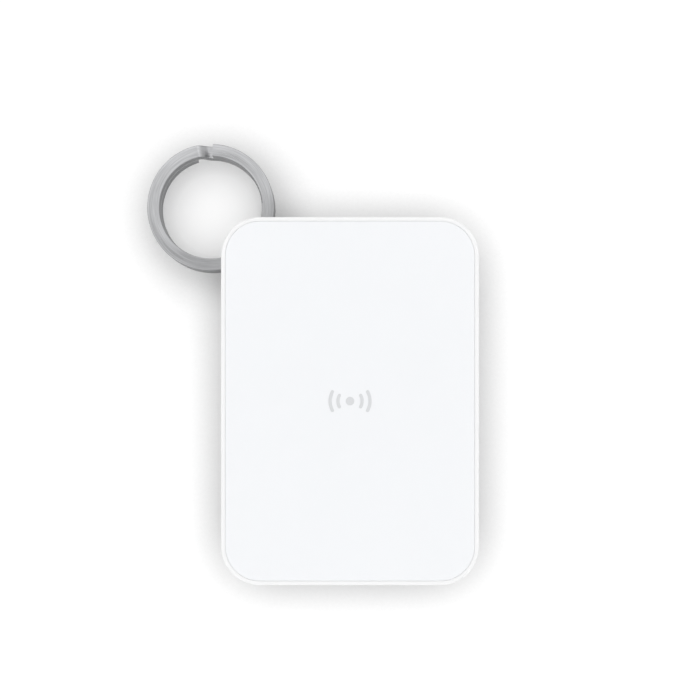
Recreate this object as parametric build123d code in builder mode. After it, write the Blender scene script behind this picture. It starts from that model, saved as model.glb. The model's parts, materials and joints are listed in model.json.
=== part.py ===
"""Bluetooth tracker tag on a split key ring, in millimetres.

The case lies on its back. The origin is the middle of the back face, +Z is the front panel's outward
normal, and +Y is the long way of the case, towards the end that carries the key ring.
"""

import os
from math import cos, radians, sin

from build123d import *

# ---- Case ---------------------------------------------------------------------------------------
BODY_W = 39.6
BODY_L = 56.5
BODY_T = 7.0
CORNER_R = 6.0
BACK_EDGE_R = 1.5
FRONT_EDGE_R = 0.4
WALL = 1.2
FLOOR = 1.0
PART_Z = 3.15  # height of the parting line
PART_CHAMFER = 0.08
TONGUE_W = 0.5
TONGUE_H = 0.6
TONGUE_GAP = 0.05
SEAL_H = 0.4
SHARP_CORNER_R = 1.0  # rounding where the slot wall meets the side walls

# ---- Front panel, its gasket and its printed mark -------------------------------------------------
RIM_W = 0.7  # wall of the case beside the panel
PANEL_GAP = 0.025
PANEL_LOW = 6.0
PANEL_EDGE_R = 0.05
LEDGE_LOW = 4.7
LEDGE_TOP = 5.65
LEDGE_INSET = 3.2
GASKET_LOW = 5.25
GASKET_OUTER = 1.5  # inset of the gasket's outer side from the case outline
GASKET_INNER = 2.5
MARK_T = 0.1
MARK_LINE = 0.5
MARK_RADII = (1.85, 3.05)
MARK_HALF_ANGLE = 28
MARK_DOT_R = 0.65
PRESS_BOSS_R = 1.6  # boss under the panel that works the switch

# ---- Key ring, its post and its slot --------------------------------------------------------------
RING_R = 10.0
WIRE_W = 1.95
WIRE_T = 1.05
WIRE_EDGE_R = 0.18
TURN_GAP = 0.05
RING_LOW = 2.075
RING_REST_ANGLE = 134.3  # direction from the post to the middle of the ring at rest
SLOT_ANGLE = 135  # direction of the middle of the ring when it stands in the middle of the slot
SLOT_SWING = 32  # room in the slot each way; the joint's own range is 30 degrees from rest
RING_START = 88  # angle of the upper turn's free end
RING_END = 106.2  # angle of the lower turn's free end
RAMP_START = 104.2  # where the wire leaves the upper level
RAMP_SPAN = 14.0
RAMP_STEPS = 8
SLOT_LOW = 1.85
SLOT_HIGH = 4.45
SLOT_GAP = 0.35
SLOT_WALL = 1.1
SLOT_MOUTH_CHAMFER = 0.2
POST_R = 0.8
POST_LOW = 0.6
POST_HIGH = 5.1
POST_CHAMFER = 0.15
POST_FROM_ARC = 4.55  # distance of the post from the centre of the case's corner arc
POST_TO_RING = 7.05  # distance of the ring's middle from the post

# ---- Cell, its well and the twist-off door --------------------------------------------------------
CELL_Y = -13.4
CELL_R = 10.0
CELL_LOW = 1.25
CELL_T = 3.2
CELL_CAP_R = 8.8
CELL_CAP_T = 0.25
CELL_EDGE_R = 0.3
CELL_CAP_CHAMFER = 0.1
WELL_R = 13.5
WELL_TOP = 3.6
WELL_LIP_R = 10.45
WELL_LIP_LOW = 2.75
DOOR_R = 12.6
DOOR_LOW = 0.05
DOOR_HIGH = 1.05
DOOR_GAP = 0.1
DOOR_EDGE_R = 0.2
DOOR_SEAT = 1.25  # step in the back shell that the door's seal presses on
SKIRT_R = 11.2
SKIRT_INNER_R = 10.5
SKIRT_TOP = 2.65
LUG_R = 11.85
LUG_LOW = 2.05
LUG_SPAN = 26  # degrees
LUG_GAP = 0.1
LUG_ROOT = 0.1  # overlap of each lug with the skirt
LUG_END_GAP = 1  # degrees
LUG_ANGLES = (90, 210, 330)
DOOR_TURN = 35  # degrees from locked to the lugs standing in their entry notches
SHELF_R = 11.35
SHELF_TOP = 1.95
DOOR_SEAL_INNER_R = 12.0
DOOR_SEAL_OUTER_R = 12.45
DOOR_SEAL_LOW = 0.75
COIN_SLOT_L = 15.0
COIN_SLOT_W = 1.9
COIN_SLOT_DEPTH = 0.5
CELL_PAD_R = 1.2
CELL_PAD_CIRCLE_R = 7.0
POINTER_ANGLE = 55  # direction of the door's pointer when it is locked
POINTER_R = 0.9
BACK_MARK_DEPTH = 0.15
BACK_MARK_CIRCLE_R = 14.2
LOCKED_DOT_R = 0.4
OPEN_RING_R = 0.55
OPEN_RING_INNER_R = 0.3

# ---- Cell contacts --------------------------------------------------------------------------------
CONTACT_T = 0.15
CONTACT_REACH = 12.3  # from the cell's axis to the end of each contact on the board
BRIDGE_HIGH = 5.1
BRIDGE_W = 3.0
LEAF_W = 2.4
LEAF_LOW = 2.95
LEAF_ANGLES = (225, 315)
CELL_SIDE_GAP = 0.02

# ---- Circuit board and what is on it --------------------------------------------------------------
BOARD_INSET = 1.6
BOARD_LOW = 3.7
BOARD_T = 0.8
BOARD_TOP = BOARD_LOW + BOARD_T
BOARD_CELL_R = 10.5
BOARD_SLOT_GAP = 1.75
BOARD_BOSS_R = 2.05
PIN_AT = ((15.4, 3.0), (-15.4, 3.0), (15.2, -19.5))
PIN_R = 0.5
PIN_HOLE_R = 0.6
PIN_HIGH = 4.3
PIN_POST_R = 1.2
SWITCH_W = 3.9
SWITCH_L = 3.0
SWITCH_BASE_T = 0.7
SWITCH_COVER_T = 0.1
SWITCH_POCKET_R = 1.3
SWITCH_FLOOR = BOARD_TOP + 0.1
PLUNGER_R = 0.8
PLUNGER_GAP = 0.1
PLUNGER_FLANGE_R = 1.15
PLUNGER_FLANGE_T = 0.2
PLUNGER_LOW = 4.95
PLUNGER_HIGH = 5.7
DOME_R = 1.2
DOME_T = 0.07
DOME_RISE = PLUNGER_LOW - SWITCH_FLOOR - DOME_T
DOME_CURVE_R = (DOME_R**2 + DOME_RISE**2) / (2 * DOME_RISE)
# Each component on the board: x, y, width, length and height.
BLUETOOTH_CHIP = (-6.0, 10.0, 5.0, 5.0, 0.85)
CRYSTAL_MAIN = (-1.2, 13.5, 2.5, 2.0, 0.6)
CRYSTAL_CLOCK = (-11.5, 11.0, 3.2, 1.5, 0.75)
INDUCTOR = (3.5, 8.0, 2.5, 2.0, 1.0)
BUZZER_DRIVER = (8.5, 6.0, 2.9, 1.3, 1.0)
STATUS_LED = (0.0, 4.2, 1.6, 0.8, 0.6)
CHIP_ANTENNA = (8.5, 23.4, 5.0, 2.0, 0.9)
CAPACITOR_SIZE = (1.0, 0.5, 0.5)
RESISTOR_SIZE = (0.5, 1.0, 0.35)
CAPACITOR_AT = (
    (-6.0, 14.2), (-4.0, 14.2), (-8.4, 5.8), (-5.6, 5.8), (-11.5, 8.6), (1.6, 14.4), (3.6, 11.0),
    (12.6, 8.4), (6.0, 19.6), (13.2, -3.4),
)
RESISTOR_AT = (
    (-2.4, 7.0), (-0.9, 8.6), (6.4, 8.2), (11.4, 8.2), (4.4, 20.2), (11.8, -4.6), (-3.4, 3.6),
)

# ---- Sounder --------------------------------------------------------------------------------------
SOUNDER_AT = (6.8, 12.6)
SOUNDER_R = 7.6
SOUNDER_RIB_R = 7.8
SOUNDER_RIB_INNER_R = 7.0
SOUNDER_RIB_TOP = 2.0
FOAM_T = 0.2
SOUNDER_T = 0.12
CERAMIC_R = 5.5
SPRING_T = 0.1
SPRING_W = 1.2
SOUND_HOLE_R = 0.45
SOUND_HOLE_PITCH = 1.7
MESH_R = 2.9
MESH_T = 0.15

# ---- Case screws ----------------------------------------------------------------------------------
SCREW_INSET = 4.1
SCREW_AT = (
    (BODY_W / 2 - SCREW_INSET, BODY_L / 2 - SCREW_INSET),
    (BODY_W / 2 - SCREW_INSET, SCREW_INSET - BODY_L / 2),
    (SCREW_INSET - BODY_W / 2, SCREW_INSET - BODY_L / 2),
    (-16.7, 15.6),
)
SCREW_R = 0.7
SCREW_THREAD_GAP = 0.02
SCREW_FREE_GAP = 0.1  # round the shaft and the head, where they pass through the back shell
SCREW_HEAD_R = 1.35
SCREW_HEAD_T = 0.55
SCREW_HEAD_LOW = 0.2
SCREW_HEAD_CHAMFER = 0.12
SCREW_CROSS_L = 1.5
SCREW_CROSS_W = 0.34
SCREW_CROSS_DEPTH = 0.35
SCREW_TOP = 4.6
SCREW_HOLE_TOP = 4.8
BOSS_R = 1.75
BOSS_LOW = 1.5
PAD_R = 2.0

# ---- Values worked out from the ones above ---------------------------------------------------------
ARC_X = CORNER_R - BODY_W / 2
ARC_Y = BODY_L / 2 - CORNER_R
POST_AT = (
    ARC_X + POST_FROM_ARC * cos(radians(SLOT_ANGLE)),
    ARC_Y + POST_FROM_ARC * sin(radians(SLOT_ANGLE)),
)
RING_PITCH = WIRE_T + TURN_GAP
WIRE_MID_R = RING_R - WIRE_W / 2
LOWER_MID_Z = RING_LOW + WIRE_T / 2
UPPER_MID_Z = LOWER_MID_Z + RING_PITCH
CELL_AT = (0, CELL_Y)
CELL_AXIS = Axis((0, CELL_Y, 0), (0, 0, 1))
CELL_TOP = CELL_LOW + CELL_T
SEAL_LOW = PART_Z + TONGUE_H
SEAL_HIGH = SEAL_LOW + SEAL_H
FOAM_TOP = SOUNDER_RIB_TOP + FOAM_T


# ---- Shapes that several pieces share --------------------------------------------------------------
def body_outline(inset):
    """Adds the case's rounded rectangle, that far inside its side, to the active sketch."""
    RectangleRounded(BODY_W - 2 * inset, BODY_L - 2 * inset, CORNER_R - inset)


def ring_centre(angle):
    """Middle of the key ring when it lies in that direction from its post, in degrees."""
    reach = (POST_TO_RING * cos(radians(angle)), POST_TO_RING * sin(radians(angle)))
    return (POST_AT[0] + reach[0], POST_AT[1] + reach[1])


def ring_sweep(grow, mode=Mode.ADD):
    """Adds or cuts all that the swinging ring reaches, grown by a clearance, in the active sketch."""
    with Locations(ring_centre(SLOT_ANGLE - SLOT_SWING), ring_centre(SLOT_ANGLE + SLOT_SWING)):
        Circle(RING_R + grow, mode=mode)
    with Locations(POST_AT):
        Circle(RING_R + grow - POST_TO_RING, mode=mode)


def slot_corners(sketch):
    """The two sharp corners that a ring sweep leaves in a sketch of the case's inside."""
    left = sketch.vertices().group_by(Axis.X)[0].sort_by(Axis.Y)[-1]
    top = sketch.vertices().group_by(Axis.Y)[-1].sort_by(Axis.X)[0]
    return [left, top]


def upright_plane(x, y, angle):
    """Plane through a vertical axis: its x runs outwards at that angle, its y runs up."""
    outwards = (cos(radians(angle)), sin(radians(angle)), 0)
    return Plane(origin=(x, y, 0), x_dir=outwards, z_dir=(outwards[1], -outwards[0], 0))


def slot_mouth(shell, height):
    """Edges at that height where the key ring's slot breaks out through the side walls."""
    level = shell.edges().filter_by_position(Axis.Z, height - 0.001, height + 0.001)
    arcs = level.filter_by(GeomType.CIRCLE)
    corner = arcs.filter_by(lambda edge: abs(edge.radius - CORNER_R) < 0.001)
    return level.filter_by(GeomType.LINE) + corner


def cell_sector(inner, outer, low, high, middle, size):
    """Slice of a flat ring about the cell's axis, between two radii and two heights."""
    with BuildPart() as slice_part:
        with BuildSketch(upright_plane(0, CELL_Y, middle - size / 2)):
            with Locations(((inner + outer) / 2, (low + high) / 2)):
                Rectangle(outer - inner, high - low)
        revolve(axis=CELL_AXIS, revolution_arc=size)
    return slice_part.part


def strip(points, plane, thickness, width):
    """Sheet-metal strip of one thickness that follows a line of points on an upright plane."""
    with BuildPart() as strip_part:
        with BuildSketch(plane):
            with BuildLine():
                Polyline(*points)
            trace(line_width=thickness)
        extrude(amount=width / 2, both=True)
    return strip_part.part


# The dry inside of the case: everything within the walls except the corner that the ring uses.
with BuildSketch() as dry_area:
    body_outline(WALL)
    ring_sweep(SLOT_GAP + SLOT_WALL, mode=Mode.SUBTRACT)
    fillet(slot_corners(dry_area), SHARP_CORNER_R)

with BuildSketch() as ledge_window:
    body_outline(LEDGE_INSET)
    ring_sweep(SLOT_GAP + SLOT_WALL, mode=Mode.SUBTRACT)
    fillet(slot_corners(ledge_window), SHARP_CORNER_R)

# Seen from the front, the door turns clockwise as it unlocks.
lug_paths = [
    cell_sector(
        WELL_LIP_R,
        LUG_R + LUG_GAP,
        SHELF_TOP,
        WELL_LIP_LOW,
        angle - DOOR_TURN / 2,
        LUG_SPAN + DOOR_TURN + 2 * LUG_END_GAP,
    )
    for angle in LUG_ANGLES
]
lug_entries = [
    cell_sector(
        WELL_LIP_R,
        LUG_R + LUG_GAP,
        DOOR_SEAT,
        SHELF_TOP,
        angle - DOOR_TURN,
        LUG_SPAN + 2 * LUG_END_GAP,
    )
    for angle in LUG_ANGLES
]
door_lugs = [
    cell_sector(SKIRT_R - LUG_ROOT, LUG_R, LUG_LOW, SKIRT_TOP, angle, LUG_SPAN)
    for angle in LUG_ANGLES
]


# ---- Case shells -----------------------------------------------------------------------------------
with BuildPart() as back_shell:
    with BuildSketch():
        body_outline(0)
    extrude(amount=PART_Z)
    fillet(back_shell.faces().sort_by(Axis.Z)[0].edges(), BACK_EDGE_R)
    chamfer(back_shell.faces().sort_by(Axis.Z)[-1].edges(), PART_CHAMFER)
    # Dry pocket, and the tongue that centres the front frame.
    with BuildSketch(Plane.XY.offset(FLOOR)):
        add(dry_area.sketch)
    extrude(amount=PART_Z - FLOOR, mode=Mode.SUBTRACT)
    with BuildSketch(Plane.XY.offset(PART_Z)):
        add(dry_area.sketch)
        offset(amount=TONGUE_W)
        add(dry_area.sketch, mode=Mode.SUBTRACT)
    extrude(amount=TONGUE_H)
    # Slot for the key ring, and the blind hole of its post.
    with BuildSketch(Plane.XY.offset(SLOT_LOW)):
        ring_sweep(SLOT_GAP)
    extrude(amount=PART_Z - SLOT_LOW, mode=Mode.SUBTRACT)
    chamfer(slot_mouth(back_shell, SLOT_LOW), SLOT_MOUTH_CHAMFER)
    with BuildSketch(Plane.XY.offset(POST_LOW)):
        with Locations(POST_AT):
            Circle(POST_R)
    extrude(amount=SLOT_LOW - POST_LOW, mode=Mode.SUBTRACT)
    # Cell well, sounder rib, screw pads and board posts stand on the floor.
    with BuildSketch(Plane.XY.offset(FLOOR)):
        with Locations(CELL_AT):
            Circle(WELL_R)
    extrude(amount=WELL_TOP - FLOOR)
    with BuildSketch(Plane.XY.offset(FLOOR)):
        with Locations(SOUNDER_AT):
            Circle(SOUNDER_RIB_R)
            Circle(SOUNDER_RIB_INNER_R, mode=Mode.SUBTRACT)
    extrude(amount=SOUNDER_RIB_TOP - FLOOR)
    with BuildSketch(Plane.XY.offset(FLOOR)):
        with Locations(*SCREW_AT):
            Circle(PAD_R)
    extrude(amount=BOSS_LOW - FLOOR)
    with BuildSketch(Plane.XY.offset(FLOOR)):
        with Locations(*PIN_AT):
            Circle(PIN_POST_R)
    extrude(amount=BOARD_LOW - FLOOR)
    with BuildSketch(Plane.XY.offset(BOARD_LOW)):
        with Locations(*PIN_AT):
            Circle(PIN_R)
    extrude(amount=PIN_HIGH - BOARD_LOW)
    # Door opening: plate recess, bore, lip over the cell, bayonet grooves and their entries.
    for radius, low, high in (
        (DOOR_R + DOOR_GAP, 0, DOOR_SEAT),
        (SHELF_R, DOOR_SEAT, WELL_LIP_LOW),
        (WELL_LIP_R, WELL_LIP_LOW, WELL_TOP),
    ):
        with BuildSketch(Plane.XY.offset(low)):
            with Locations(CELL_AT):
                Circle(radius)
        extrude(amount=high - low, mode=Mode.SUBTRACT)
    add(lug_paths + lug_entries, mode=Mode.SUBTRACT)
    # Screw holes with their counterbores, and the sound holes.
    with Locations(*[Location((x, y, 0), (180, 0, 0)) for x, y in SCREW_AT]):
        CounterBoreHole(
            SCREW_R + SCREW_FREE_GAP,
            SCREW_HEAD_R + SCREW_FREE_GAP,
            SCREW_HEAD_LOW + SCREW_HEAD_T,
            BODY_T,
        )
    with BuildSketch():
        with Locations(SOUNDER_AT):
            Circle(SOUND_HOLE_R)
            with PolarLocations(SOUND_HOLE_PITCH, 6):
                Circle(SOUND_HOLE_R)
    extrude(amount=FLOOR, mode=Mode.SUBTRACT)
    # Engraved lock marks beside the door: a dot where it is locked, a ring where it is open.
    with BuildSketch():
        with Locations(CELL_AT):
            with PolarLocations(BACK_MARK_CIRCLE_R, 1, start_angle=POINTER_ANGLE):
                Circle(LOCKED_DOT_R)
            with PolarLocations(BACK_MARK_CIRCLE_R, 1, start_angle=POINTER_ANGLE - DOOR_TURN):
                Circle(OPEN_RING_R)
                Circle(OPEN_RING_INNER_R, mode=Mode.SUBTRACT)
    extrude(amount=BACK_MARK_DEPTH, mode=Mode.SUBTRACT)

with BuildPart() as front_frame:
    with BuildSketch(Plane.XY.offset(PART_Z)):
        body_outline(0)
    extrude(amount=BODY_T - PART_Z)
    fillet(front_frame.faces().sort_by(Axis.Z)[-1].edges(), FRONT_EDGE_R)
    chamfer(front_frame.faces().sort_by(Axis.Z)[0].edges(), PART_CHAMFER)
    # Dry pocket below the ledge, the recess for tongue and seal, and the window inside the ledge.
    with BuildSketch(Plane.XY.offset(PART_Z)):
        add(dry_area.sketch)
    extrude(amount=LEDGE_LOW - PART_Z, mode=Mode.SUBTRACT)
    with BuildSketch(Plane.XY.offset(PART_Z)):
        add(dry_area.sketch)
        offset(amount=TONGUE_W + TONGUE_GAP)
    extrude(amount=SEAL_HIGH - PART_Z, mode=Mode.SUBTRACT)
    with BuildSketch(Plane.XY.offset(LEDGE_LOW)):
        add(ledge_window.sketch)
    extrude(amount=BODY_T - LEDGE_LOW, mode=Mode.SUBTRACT)
    # Pocket of the panel and groove of its gasket.
    with BuildSketch(Plane.XY.offset(LEDGE_TOP)):
        body_outline(RIM_W)
    extrude(amount=BODY_T - LEDGE_TOP, mode=Mode.SUBTRACT)
    with BuildSketch(Plane.XY.offset(GASKET_LOW)):
        body_outline(GASKET_OUTER)
        offset(amount=GASKET_OUTER - GASKET_INNER, mode=Mode.SUBTRACT)
    extrude(amount=LEDGE_TOP - GASKET_LOW, mode=Mode.SUBTRACT)
    # Slot for the key ring, and the blind hole of its post.
    with BuildSketch(Plane.XY.offset(PART_Z)):
        ring_sweep(SLOT_GAP)
    extrude(amount=SLOT_HIGH - PART_Z, mode=Mode.SUBTRACT)
    chamfer(slot_mouth(front_frame, SLOT_HIGH), SLOT_MOUTH_CHAMFER)
    with BuildSketch(Plane.XY.offset(SLOT_HIGH)):
        with Locations(POST_AT):
            Circle(POST_R)
    extrude(amount=POST_HIGH - SLOT_HIGH, mode=Mode.SUBTRACT)
    # Screw bosses hang from the ledge.
    with BuildSketch(Plane.XY.offset(BOSS_LOW)):
        with Locations(*SCREW_AT):
            Circle(BOSS_R)
    extrude(amount=GASKET_LOW - BOSS_LOW)
    with BuildSketch(Plane.XY.offset(BOSS_LOW)):
        with Locations(*SCREW_AT):
            Circle(SCREW_R + SCREW_THREAD_GAP)
    extrude(amount=SCREW_HOLE_TOP - BOSS_LOW, mode=Mode.SUBTRACT)

with BuildPart() as case_seal:
    with BuildSketch(Plane.XY.offset(SEAL_LOW)):
        add(dry_area.sketch)
        offset(amount=TONGUE_W)
        add(dry_area.sketch, mode=Mode.SUBTRACT)
    extrude(amount=SEAL_H)

with BuildPart() as case_screws:
    with BuildSketch(Plane.XY.offset(SCREW_HEAD_LOW)):
        with Locations(*SCREW_AT):
            Circle(SCREW_HEAD_R)
    extrude(amount=SCREW_HEAD_T)
    chamfer(case_screws.faces().group_by(Axis.Z)[0].edges(), SCREW_HEAD_CHAMFER)
    with BuildSketch(Plane.XY.offset(SCREW_HEAD_LOW + SCREW_HEAD_T)):
        with Locations(*SCREW_AT):
            Circle(SCREW_R)
    extrude(amount=SCREW_TOP - SCREW_HEAD_LOW - SCREW_HEAD_T)
    with BuildSketch(Plane.XY.offset(SCREW_HEAD_LOW)):
        with Locations(*SCREW_AT):
            Rectangle(SCREW_CROSS_L, SCREW_CROSS_W)
            Rectangle(SCREW_CROSS_W, SCREW_CROSS_L)
    extrude(amount=SCREW_CROSS_DEPTH, mode=Mode.SUBTRACT)


# ---- Front panel -----------------------------------------------------------------------------------
def mark_shapes():
    """Adds the printed mark to the active sketch: a dot with signal arcs on its two sides."""
    Circle(MARK_DOT_R)
    for radius in MARK_RADII:
        for side in (0, 180):
            arc = CenterArc(
                (0, 0), radius, side - MARK_HALF_ANGLE, 2 * MARK_HALF_ANGLE, mode=Mode.PRIVATE
            )
            SlotArc(arc, MARK_LINE)


with BuildPart() as front_panel:
    with BuildSketch(Plane.XY.offset(PANEL_LOW)):
        body_outline(RIM_W + PANEL_GAP)
    extrude(amount=BODY_T - PANEL_LOW)
    fillet(front_panel.faces().sort_by(Axis.Z)[-1].edges(), PANEL_EDGE_R)
    with BuildSketch(Plane.XY.offset(PLUNGER_HIGH)):
        Circle(PRESS_BOSS_R)
    extrude(amount=PANEL_LOW - PLUNGER_HIGH)
    with BuildSketch(Plane.XY.offset(BODY_T - MARK_T)):
        mark_shapes()
    extrude(amount=MARK_T, mode=Mode.SUBTRACT)

with BuildPart() as panel_mark:
    with BuildSketch(Plane.XY.offset(BODY_T - MARK_T)):
        mark_shapes()
    extrude(amount=MARK_T)

with BuildPart() as panel_gasket:
    with BuildSketch(Plane.XY.offset(GASKET_LOW)):
        body_outline(GASKET_OUTER)
        offset(amount=GASKET_OUTER - GASKET_INNER, mode=Mode.SUBTRACT)
    extrude(amount=PANEL_LOW - GASKET_LOW)


# ---- Key ring and post -----------------------------------------------------------------------------
RING_X, RING_Y = ring_centre(RING_REST_ANGLE)
RING_AXIS = Axis((RING_X, RING_Y, 0), (0, 0, 1))


def wire_section(height):
    """Adds the wire's rounded rectangle, at that height, to the active upright sketch."""
    with Locations((WIRE_MID_R, height)):
        RectangleRounded(WIRE_W, WIRE_T, WIRE_EDGE_R)


def ramp_height(share):
    """Height of the wire's middle along the ramp, easing from the upper to the lower level."""
    return UPPER_MID_Z - RING_PITCH * (1 - cos(radians(180 * share))) / 2


with BuildPart() as split_ring:
    # Upper turn, counter-clockwise from the head of the ramp to its free end.
    with BuildSketch(upright_plane(RING_X, RING_Y, RAMP_START)):
        wire_section(UPPER_MID_Z)
    revolve(axis=RING_AXIS, revolution_arc=360 + RING_START - RAMP_START)
    # Lower turn, counter-clockwise from its free end to the foot of the ramp.
    with BuildSketch(upright_plane(RING_X, RING_Y, RING_END)):
        wire_section(LOWER_MID_Z)
    revolve(axis=RING_AXIS, revolution_arc=360 + RAMP_START - RAMP_SPAN - RING_END)
    # Ramp that joins them.
    for step in range(RAMP_STEPS + 1):
        part_way = step / RAMP_STEPS
        with BuildSketch(upright_plane(RING_X, RING_Y, RAMP_START - RAMP_SPAN * part_way)):
            wire_section(ramp_height(part_way))
    loft()

with BuildPart() as ring_post:
    with BuildSketch(Plane.XY.offset(POST_LOW)):
        with Locations(POST_AT):
            Circle(POST_R)
    extrude(amount=POST_HIGH - POST_LOW)
    chamfer(ring_post.edges().filter_by(GeomType.CIRCLE), POST_CHAMFER)


# ---- Cell, contacts and door -----------------------------------------------------------------------
with BuildPart() as battery_cell:
    with BuildSketch(Plane.XY.offset(CELL_LOW)):
        with Locations(CELL_AT):
            Circle(CELL_R)
    extrude(amount=CELL_T - CELL_CAP_T)
    fillet(battery_cell.edges().filter_by(GeomType.CIRCLE), CELL_EDGE_R)
    with BuildSketch(Plane.XY.offset(CELL_TOP - CELL_CAP_T)):
        with Locations(CELL_AT):
            Circle(CELL_CAP_R)
    extrude(amount=CELL_CAP_T)
    chamfer(battery_cell.faces().sort_by(Axis.Z)[-1].edges(), CELL_CAP_CHAMFER)

on_board = BOARD_TOP + CONTACT_T / 2
on_cell = CELL_TOP + CONTACT_T / 2
beside_cell = CELL_R + CELL_SIDE_GAP + CONTACT_T / 2

# The strip bridges the cell and dips to touch its middle.
bridge_half = [(0.8, on_cell), (2.4, BRIDGE_HIGH), (10.2, BRIDGE_HIGH), (10.9, on_board)]
bridge_half += [(CONTACT_REACH, on_board)]
bridge_line = [(-x, z) for x, z in reversed(bridge_half)] + bridge_half
negative_contact = strip(bridge_line, upright_plane(0, CELL_Y, 0), CONTACT_T, BRIDGE_W)

leaf_line = [(CONTACT_REACH, on_board), (beside_cell, on_board), (beside_cell, LEAF_LOW)]
positive_contacts = Compound(
    [
        strip(leaf_line, upright_plane(0, CELL_Y, angle), CONTACT_T, LEAF_W)
        for angle in LEAF_ANGLES
    ]
)

with BuildPart() as battery_door:
    with BuildSketch(Plane.XY.offset(DOOR_LOW)):
        with Locations(CELL_AT):
            Circle(DOOR_R)
    extrude(amount=DOOR_HIGH - DOOR_LOW)
    fillet(battery_door.edges().group_by(Axis.Z)[0], DOOR_EDGE_R)
    with BuildSketch(Plane.XY.offset(DOOR_HIGH)):
        with Locations(CELL_AT):
            Circle(SKIRT_R)
            Circle(SKIRT_INNER_R, mode=Mode.SUBTRACT)
    extrude(amount=SKIRT_TOP - DOOR_HIGH)
    add(door_lugs)
    # Four pads hold the cell off the plate.
    with BuildSketch(Plane.XY.offset(DOOR_HIGH)):
        with Locations(CELL_AT):
            with PolarLocations(CELL_PAD_CIRCLE_R, 4, start_angle=45):
                Circle(CELL_PAD_R)
    extrude(amount=CELL_LOW - DOOR_HIGH)
    # Groove of the seal, coin slot and pointer.
    with BuildSketch(Plane.XY.offset(DOOR_SEAL_LOW)):
        with Locations(CELL_AT):
            Circle(DOOR_SEAL_OUTER_R)
            Circle(DOOR_SEAL_INNER_R, mode=Mode.SUBTRACT)
    extrude(amount=DOOR_HIGH - DOOR_SEAL_LOW, mode=Mode.SUBTRACT)
    with BuildSketch(Plane.XY.offset(DOOR_LOW)):
        with Locations(CELL_AT):
            SlotOverall(COIN_SLOT_L, COIN_SLOT_W)
    extrude(amount=COIN_SLOT_DEPTH, mode=Mode.SUBTRACT)
    with BuildSketch(Plane.XY.offset(DOOR_LOW)):
        with Locations(CELL_AT):
            with PolarLocations(DOOR_R - 2 * POINTER_R, 1, start_angle=POINTER_ANGLE):
                RegularPolygon(POINTER_R, 3)
    extrude(amount=BACK_MARK_DEPTH, mode=Mode.SUBTRACT)

with BuildPart() as door_seal:
    with BuildSketch(Plane.XY.offset(DOOR_SEAL_LOW)):
        with Locations(CELL_AT):
            Circle(DOOR_SEAL_OUTER_R)
            Circle(DOOR_SEAL_INNER_R, mode=Mode.SUBTRACT)
    extrude(amount=DOOR_SEAT - DOOR_SEAL_LOW)


# ---- Circuit board ---------------------------------------------------------------------------------
with BuildPart() as circuit_board:
    with BuildSketch(Plane.XY.offset(BOARD_LOW)) as board_outline:
        body_outline(BOARD_INSET)
        ring_sweep(BOARD_SLOT_GAP, mode=Mode.SUBTRACT)
        fillet(slot_corners(board_outline), SHARP_CORNER_R)
        with Locations(CELL_AT):
            Circle(BOARD_CELL_R, mode=Mode.SUBTRACT)
        with Locations(*SCREW_AT):
            Circle(BOARD_BOSS_R, mode=Mode.SUBTRACT)
        with Locations(*PIN_AT):
            Circle(PIN_HOLE_R, mode=Mode.SUBTRACT)
    extrude(amount=BOARD_T)


def component(x, y, width, length, height, chamfer_size=0.05):
    """Adds a block that stands on the board, with slightly broken edges, to the active part."""
    with Locations((x, y, BOARD_TOP)):
        block = Box(width, length, height, align=(Align.CENTER, Align.CENTER, Align.MIN))
    chamfer(block.faces().sort_by(Axis.Z)[-1].edges(), chamfer_size)


with BuildPart() as bluetooth_chip:
    component(*BLUETOOTH_CHIP)
    # Round dimple that marks the chip's first corner.
    chip_x, chip_y, chip_w, chip_l, chip_h = BLUETOOTH_CHIP
    with Locations((chip_x - chip_w / 2 + 0.6, chip_y + chip_l / 2 - 0.6, BOARD_TOP + chip_h)):
        Cylinder(0.3, 0.1, mode=Mode.SUBTRACT)

with BuildPart() as crystal_main:
    component(*CRYSTAL_MAIN)

with BuildPart() as crystal_clock:
    component(*CRYSTAL_CLOCK)

with BuildPart() as inductor:
    component(*INDUCTOR, chamfer_size=0.15)

with BuildPart() as status_led:
    component(*STATUS_LED)

with BuildPart() as chip_antenna:
    component(*CHIP_ANTENNA)

with BuildPart() as buzzer_driver:
    component(*BUZZER_DRIVER, chamfer_size=0.1)
    # Three flat legs: two on one side and one on the other.
    driver_x, driver_y, _, driver_l, _ = BUZZER_DRIVER
    for leg_x, side in ((-0.95, -1), (0.95, -1), (0, 1)):
        with Locations((driver_x + leg_x, driver_y + side * driver_l / 2, BOARD_TOP)):
            Box(0.4, 1.2, 0.15, align=(Align.CENTER, Align.CENTER, Align.MIN))

with BuildPart() as capacitors:
    for x, y in CAPACITOR_AT:
        component(x, y, *CAPACITOR_SIZE)

with BuildPart() as resistors:
    for x, y in RESISTOR_AT:
        component(x, y, *RESISTOR_SIZE)


# ---- Switch under the panel ------------------------------------------------------------------------
with BuildPart() as switch_body:
    with BuildSketch(Plane.XY.offset(BOARD_TOP)):
        Rectangle(SWITCH_W, SWITCH_L)
    extrude(amount=SWITCH_BASE_T)
    with BuildSketch(Plane.XY.offset(SWITCH_FLOOR)):
        Circle(SWITCH_POCKET_R)
    extrude(amount=SWITCH_BASE_T, mode=Mode.SUBTRACT)

with BuildPart() as switch_cover:
    with BuildSketch(Plane.XY.offset(BOARD_TOP + SWITCH_BASE_T)):
        Rectangle(SWITCH_W, SWITCH_L)
        Circle(PLUNGER_R + PLUNGER_GAP, mode=Mode.SUBTRACT)
    extrude(amount=SWITCH_COVER_T)

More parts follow.
